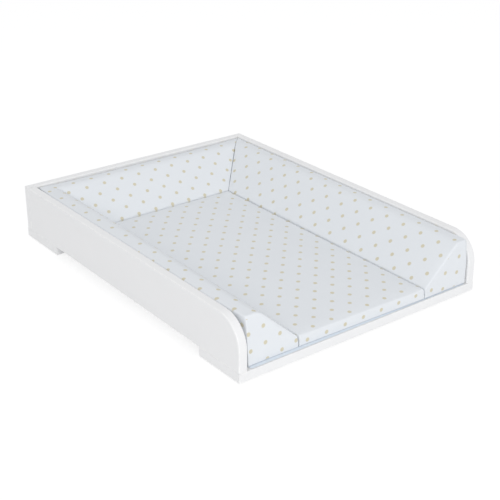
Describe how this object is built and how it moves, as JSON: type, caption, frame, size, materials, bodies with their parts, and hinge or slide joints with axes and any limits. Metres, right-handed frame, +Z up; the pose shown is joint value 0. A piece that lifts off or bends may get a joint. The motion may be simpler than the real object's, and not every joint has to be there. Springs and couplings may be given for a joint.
{
  "type": "cot top changer",
  "caption": "Lacquered three-walled tray that stands on a cot's rails, open at the front, with a lift-out padded changing mat that has wedge bolsters along its sides and back.",
  "frame": {"origin": "middle of the tray's footprint, on the surface that its anti-slip pads stand on", "axes": "+X to the tray's right as seen from its open front, +Y from the open front to the back wall, +Z up"},
  "size_m": [0.58, 0.77, 0.1183],
  "materials": {
    "lacquer": "satin",
    "steel": "satin",
    "cap": "satin",
    "dowel": "matte",
    "grip": "matte",
    "cover": "satin",
    "backing": "matte",
    "foam": "matte"
  },
  "bodies": {
    "tray": {"base_board": "lacquer", "left_wall": "lacquer", "right_wall": "lacquer", "back_wall": "lacquer", "left_wall_screw_1": "steel", "left_wall_screw_2": "steel", "left_wall_screw_3": "steel", "left_wall_screw_4": "steel", "right_wall_screw_1": "steel", "right_wall_screw_2": "steel", "right_wall_screw_3": "steel", "right_wall_screw_4": "steel", "back_wall_screw_1": "steel", "back_wall_screw_2": "steel", "back_wall_screw_3": "steel", "back_wall_screw_4": "steel", "corner_screw_1": "steel", "corner_screw_2": "steel", "corner_screw_3": "steel", "corner_screw_4": "steel", "corner_screw_cap_1": "cap", "corner_screw_cap_2": "cap", "corner_screw_cap_3": "cap", "corner_screw_cap_4": "cap", "left_wall_dowel_1": "dowel", "left_wall_dowel_2": "dowel", "right_wall_dowel_1": "dowel", "right_wall_dowel_2": "dowel", "back_wall_dowel_1": "dowel", "back_wall_dowel_2": "dowel", "corner_dowel_1": "dowel", "corner_dowel_2": "dowel", "grip_pad_front_left": "grip", "grip_pad_front_right": "grip", "grip_pad_rear_left": "grip", "grip_pad_rear_right": "grip"},
    "mat": {"mat_backing": "backing", "pad_cover": "cover", "pad_core": "foam", "left_bolster_cover": "cover", "left_bolster_core": "foam", "right_bolster_cover": "cover", "right_bolster_core": "foam", "rear_bolster_cover": "cover", "rear_bolster_core": "foam"}
  },
  "joints": [
    {"name": "mat_lift", "type": "slide", "parent": "tray", "child": "mat", "axis": [0, 0, 1], "range_m": [0, 0.12]}
  ]
}
